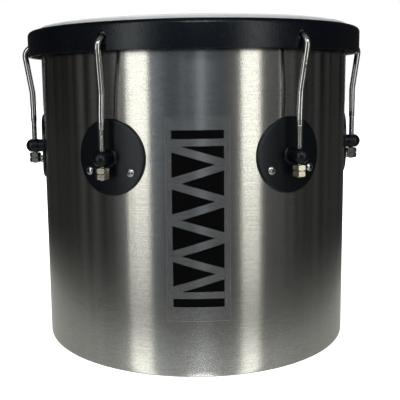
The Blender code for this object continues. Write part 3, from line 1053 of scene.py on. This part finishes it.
def make_lights():
    """Tall strips for the shell's bright bands, a small box for the hoop's top edge, one overhead."""
    tall = 1.5
    middle = 0.76                   # the strips stand on the floor and face straight across
    for name, azimuth, away, width, radiance in (
        ("strip_left", -40.4, 1.5, 0.41, 1.95),
        ("strip_right", 36.6, 1.5, 0.35, 1.95),
        ("strip_back_left", -170, 1.6, 0.3, 1.2),
        ("strip_back_right", 170, 1.6, 0.3, 1.2),
    ):
        softbox(name, azimuth, away, middle, width, tall, radiance, WARM_LAMP, aim=middle)
    softbox("over_camera", azimuth=2.5, away=1.5, middle=1.25, width=0.5, tall=0.3, radiance=9.0)
    overhead = softbox("overhead", azimuth=0, away=0.3, middle=1.9, width=1.4, tall=1.4, radiance=4.2)
    overhead.visible_glossy = False


class Studio(Look):
    """A Look whose nodes are the world's, with the background in place of a Principled BSDF."""

    def __init__(self, world):
        world.use_nodes = True
        self.nodes = world.node_tree.nodes
        self.links = world.node_tree.links
        self.shader = self.nodes["Background"]


COOL = (0.88, 1.0, 1.10)
WARM = (1.0, 1.0, 0.98)
PALE_YELLOW = (1.0, 1.0, 0.92)

# What polished metal mirrors of the room: (azimuth, brightness), from the back round by the left side.
ROOM = (
    (-180, 0.10), (-160, 0.05), (-145, 0.018), (-106, 0.02), (-98, 0.05), (-85, 0.06), (-64, 0.055),
    (-58, 0.20), (-52, 0.30), (-28, 0.27), (-21, 0.13), (-12.5, 0.12), (-10, 0.20), (-7, 0.12),
    (-1, 0.16), (1.5, 0.36), (4, 0.38), (7, 0.18), (12, 0.13), (18, 0.115), (25, 0.15), (30, 0.25),
    (47, 0.27), (51, 0.17), (63, 0.15), (68, 0.07), (90, 0.04), (105, 0.034), (145, 0.025),
    (160, 0.05), (180, 0.10),
)
COOL_FROM, COOL_TO = -30, 20        # the azimuths where the room is a little blue

# What polished metal mirrors of the floor: (distance from the drum's middle, brightness).
# a painted sheen: the floor reflects more strongly next to the drum
FLOOR_SHEEN = (
    (0.17, 0.75), (0.22, 0.5), (0.27, 0.22), (0.34, 0.24), (0.45, 0.4), (0.6, 0.5), (0.9, 0.6),
)
# A painted pool of light: the floor glows for glossy rays, brightest next to the drum: (distance from the
# glow's middle, brightness).
FLOOR_GLOW = (
    (0.15, 0.42), (0.2, 0.37), (0.24, 0.33), (0.28, 0.235), (0.33, 0.15), (0.45, 0.055), (0.6, 0.02),
)
FLOOR_GLOW_FROM = (-0.025, 0.05, 0)                 # a little behind the axis and left of it


def make_world():
    """White for the camera and for soft light. What polished metal mirrors is a dim, cluttered room."""
    world = bpy.data.worlds.new("studio")
    bpy.context.scene.world = world
    look = Studio(world)
    direction = look.node("ShaderNodeTexCoord").outputs["Generated"]
    parts = look.node("ShaderNodeSeparateXYZ", {0: direction}).outputs
    behind = look.maths("MULTIPLY", parts[1], -1.0)
    azimuth = look.maths("ARCTAN2", parts[0], behind)
    turn = look.between(azimuth, -pi, pi, 0.0, 1.0)
    room = look.ramp(turn, [
        ((at + 180) / 360, grey, COOL if COOL_FROM < at < COOL_TO else WARM) for at, grey in ROOM
    ])
    to_the_sides = look.between(look.maths("ABSOLUTE", azimuth), radians(60), radians(70), 0.0, 1.0)
    streaks = look.node("ShaderNodeTexNoise", {"W": turn, "Scale": 55.0, "Detail": 2.0},
                        noise_dimensions="1D").outputs[0]
    lighter = look.maths("MULTIPLY", to_the_sides, look.between(streaks, 0.35, 0.65, -0.95, 0.95))
    clutter = look.maths("ADD", lighter, 1.0)
    room = look.node("ShaderNodeVectorMath", {0: room, "Scale": clutter}, operation="SCALE").outputs[0]
    rays = look.node("ShaderNodeLightPath").outputs
    soft = look.mixed(rays["Is Diffuse Ray"], room, (0.85, 0.85, 0.85))
    seen = look.mixed(rays["Is Camera Ray"], soft, WHITE)
    look.drives("Color", seen)
    look.shader.inputs["Strength"].default_value = 1.0


def make_floor():
    """A white floor for the camera. Metal mirrors a painted pool of light on it: bright by the drum, dim
    further off.
    """
    shape = bmesh.new()
    bmesh.ops.create_grid(shape, x_segments=1, y_segments=1, size=8)
    floor = bpy.data.objects.new("floor", mesh_of("floor", shape))
    floor.location.z = -0.2 * MM
    bpy.context.scene.collection.objects.link(floor)

    look = Look("pale_floor", Roughness=0.9, Specular_IOR_Level=0.0, Base_Color=(0.6, 0.6, 0.6, 1))
    bare = look.shader.outputs[0]
    white = look.joined(bare, look.emission(Strength=0.95))

    away = look.length(look.place())
    sheen = look.ramp(away, [(at, grey, WHITE) for at, grey in FLOOR_SHEEN])
    glossy = look.node("ShaderNodeBsdfGlossy", {"Color": sheen, "Roughness": 0.2}).outputs[0]
    # the painted pool of light: emission that only reflections see
    from_glow = look.distance(look.place(), FLOOR_GLOW_FROM)
    glow = look.ramp(from_glow, [(at, grey, PALE_YELLOW) for at, grey in FLOOR_GLOW])
    mirrored = look.joined(glossy, look.emission(Color=glow))

    rays = look.node("ShaderNodeLightPath").outputs
    seen = look.blended(rays["Is Camera Ray"], bare, white)
    whole = look.blended(rays["Is Glossy Ray"], seen, mirrored)
    look.links.new(whole, look.nodes["Material Output"].inputs["Surface"])
    floor.data.materials.append(look.material)


make_shell()
make_film()
make_flesh_hoop()
make_counterhoop()
make_decal()
make_fittings()
make_camera()
make_lights()
make_world()
make_floor()
bpy.context.scene.view_settings.view_transform = "Standard"
